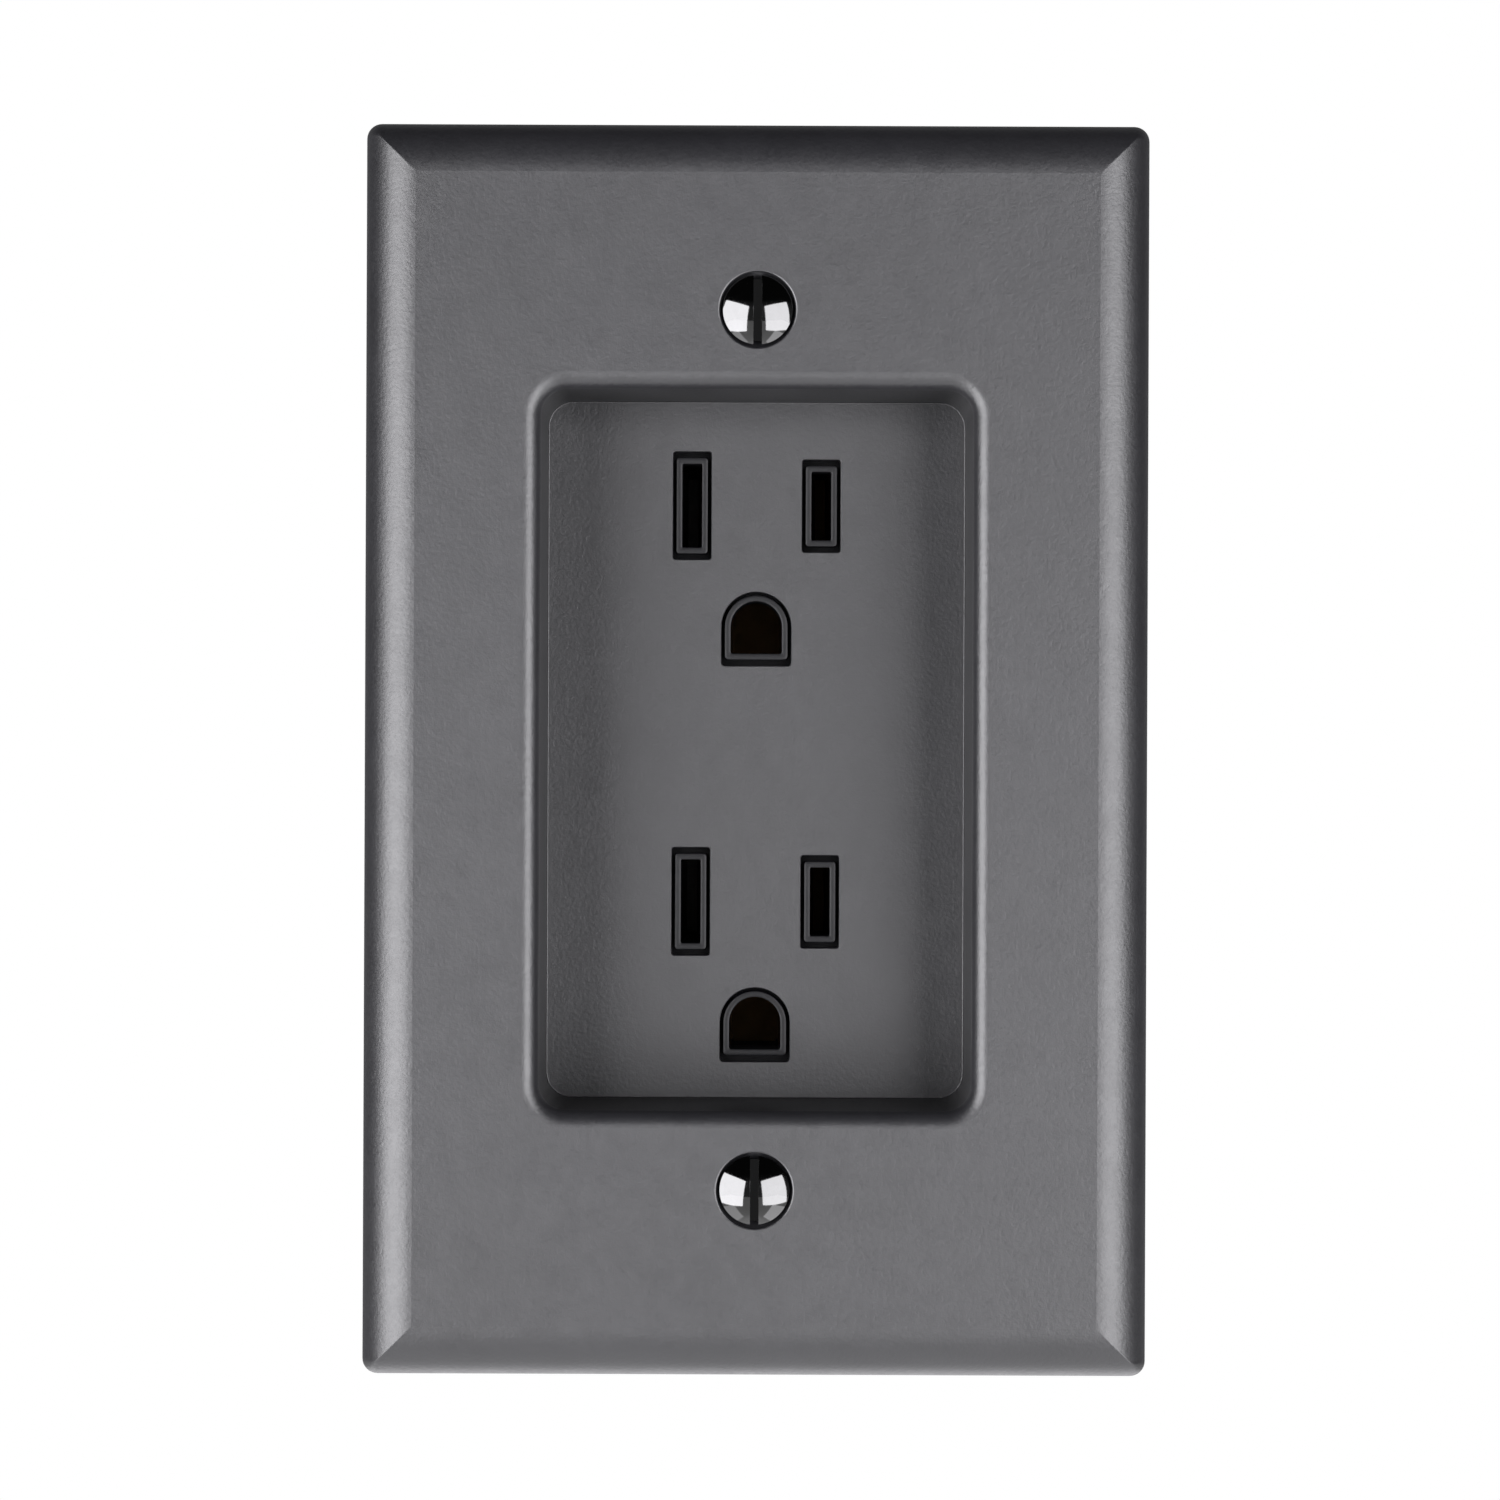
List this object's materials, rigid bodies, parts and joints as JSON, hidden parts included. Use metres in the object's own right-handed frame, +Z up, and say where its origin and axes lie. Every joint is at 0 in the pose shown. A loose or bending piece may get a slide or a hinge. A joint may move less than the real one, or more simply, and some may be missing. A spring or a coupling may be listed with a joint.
{
  "type": "recessed duplex receptacle with integral wall plate",
  "caption": "Rectangular bevelled wall plate with a deep recess holding stacked grounded outlets, side terminals behind, and slotted oval-head mounting screws.",
  "frame": {"origin": "middle of the plate, in the plane of its rear rim, which lies on the wall", "axes": "+X right and +Z up as seen from the room, +Y into the wall; the plate's front faces -Y"},
  "size_m": [0.0746, 0.0482, 0.119],
  "materials": {
    "plate_plastic": "satin moulded, fine grain, dark grey",
    "face_plastic": "satin moulded, dark grey",
    "housing_plastic": "matt moulded, near black",
    "contact_brass": "stamped sheet",
    "nickel_plate": "nickel-plated brass, stamped",
    "brass_screw": "turned, bright",
    "nickel_screw": "nickel-plated, bright",
    "strap_steel": "zinc-plated sheet",
    "case_screw_steel": "zinc-plated",
    "chrome_screw": "polished chrome",
    "green_screw": "green dyed steel",
    "fibre": "vulcanised fibre"
  },
  "bodies": {
    "device": {"face_plate": "plate_plastic", "outlet_face": "face_plastic", "rear_housing": "housing_plastic", "hot_bus": "contact_brass", "neutral_bus": "nickel_plate", "ground_bus": "contact_brass", "mounting_strap": "strap_steel", "ground_rivet": "contact_brass", "housing_screws": "case_screw_steel"},
    "screw_retainer_top_body": {"screw_retainer_top": "fibre"},
    "mounting_screw_top_body": {"mounting_screw_top": "chrome_screw"},
    "screw_retainer_bottom_body": {"screw_retainer_bottom": "fibre"},
    "mounting_screw_bottom_body": {"mounting_screw_bottom": "chrome_screw"},
    "hot_clamp_upper_body": {"hot_clamp_upper": "contact_brass"},
    "hot_screw_upper_body": {"hot_screw_upper": "brass_screw"},
    "hot_clamp_lower_body": {"hot_clamp_lower": "contact_brass"},
    "hot_screw_lower_body": {"hot_screw_lower": "brass_screw"},
    "neutral_clamp_upper_body": {"neutral_clamp_upper": "nickel_plate"},
    "neutral_screw_upper_body": {"neutral_screw_upper": "nickel_screw"},
    "neutral_clamp_lower_body": {"neutral_clamp_lower": "nickel_plate"},
    "neutral_screw_lower_body": {"neutral_screw_lower": "nickel_screw"},
    "ground_clamp_body": {"ground_clamp": "strap_steel"},
    "ground_screw_body": {"ground_screw": "green_screw"}
  },
  "joints": [
    {"name": "mounting_top_travel", "type": "slide", "parent": "device", "child": "screw_retainer_top_body", "axis": [0, -1, 0], "range_m": [0, 0.0056]},
    {"name": "mounting_top_turn", "type": "hinge", "parent": "screw_retainer_top_body", "child": "mounting_screw_top_body", "pos_m": [0, 0, 0.04167], "axis": [0, -1, 0], "range_deg": [0, 2520]},
    {"name": "mounting_bottom_travel", "type": "slide", "parent": "device", "child": "screw_retainer_bottom_body", "axis": [0, -1, 0], "range_m": [0, 0.0056]},
    {"name": "mounting_bottom_turn", "type": "hinge", "parent": "screw_retainer_bottom_body", "child": "mounting_screw_bottom_body", "pos_m": [0, 0, -0.04167], "axis": [0, -1, 0], "range_deg": [0, 2520]},
    {"name": "hot_upper_travel", "type": "slide", "parent": "device", "child": "hot_clamp_upper_body", "axis": [1, 0, 0], "range_m": [0, 0.0024]},
    {"name": "hot_upper_turn", "type": "hinge", "parent": "hot_clamp_upper_body", "child": "hot_screw_upper_body", "pos_m": [0.0142, 0.0275, 0.0096], "axis": [1, 0, 0], "range_deg": [0, 1080]},
    {"name": "hot_lower_travel", "type": "slide", "parent": "device", "child": "hot_clamp_lower_body", "axis": [1, 0, 0], "range_m": [0, 0.0024]},
    {"name": "hot_lower_turn", "type": "hinge", "parent": "hot_clamp_lower_body", "child": "hot_screw_lower_body", "pos_m": [0.0142, 0.0275, -0.0096], "axis": [1, 0, 0], "range_deg": [0, 1080]},
    {"name": "neutral_upper_travel", "type": "slide", "parent": "device", "child": "neutral_clamp_upper_body", "axis": [-1, 0, 0], "range_m": [0, 0.0024]},
    {"name": "neutral_upper_turn", "type": "hinge", "parent": "neutral_clamp_upper_body", "child": "neutral_screw_upper_body", "pos_m": [-0.0142, 0.0275, 0.0096], "axis": [-1, 0, 0], "range_deg": [0, 1080]},
    {"name": "neutral_lower_travel", "type": "slide", "parent": "device", "child": "neutral_clamp_lower_body", "axis": [-1, 0, 0], "range_m": [0, 0.0024]},
    {"name": "neutral_lower_turn", "type": "hinge", "parent": "neutral_clamp_lower_body", "child": "neutral_screw_lower_body", "pos_m": [-0.0142, 0.0275, -0.0096], "axis": [-1, 0, 0], "range_deg": [0, 1080]},
    {"name": "ground_travel", "type": "slide", "parent": "device", "child": "ground_clamp_body", "axis": [-1, 0, 0], "range_m": [0, 0.0024]},
    {"name": "ground_turn", "type": "hinge", "parent": "ground_clamp_body", "child": "ground_screw_body", "pos_m": [-0.0184, 0.0315, -0.024], "axis": [-1, 0, 0], "range_deg": [0, 1080]}
  ],
  "couplings": [
    {"joint": "mounting_top_travel", "follows": "mounting_top_turn", "m_per_rad": 0.00012633},
    {"joint": "mounting_bottom_travel", "follows": "mounting_bottom_turn", "m_per_rad": 0.00012633},
    {"joint": "hot_upper_travel", "follows": "hot_upper_turn", "m_per_rad": 0.00012633},
    {"joint": "hot_lower_travel", "follows": "hot_lower_turn", "m_per_rad": 0.00012633},
    {"joint": "neutral_upper_travel", "follows": "neutral_upper_turn", "m_per_rad": 0.00012633},
    {"joint": "neutral_lower_travel", "follows": "neutral_lower_turn", "m_per_rad": 0.00012633},
    {"joint": "ground_travel", "follows": "ground_turn", "m_per_rad": 0.00012633}
  ]
}
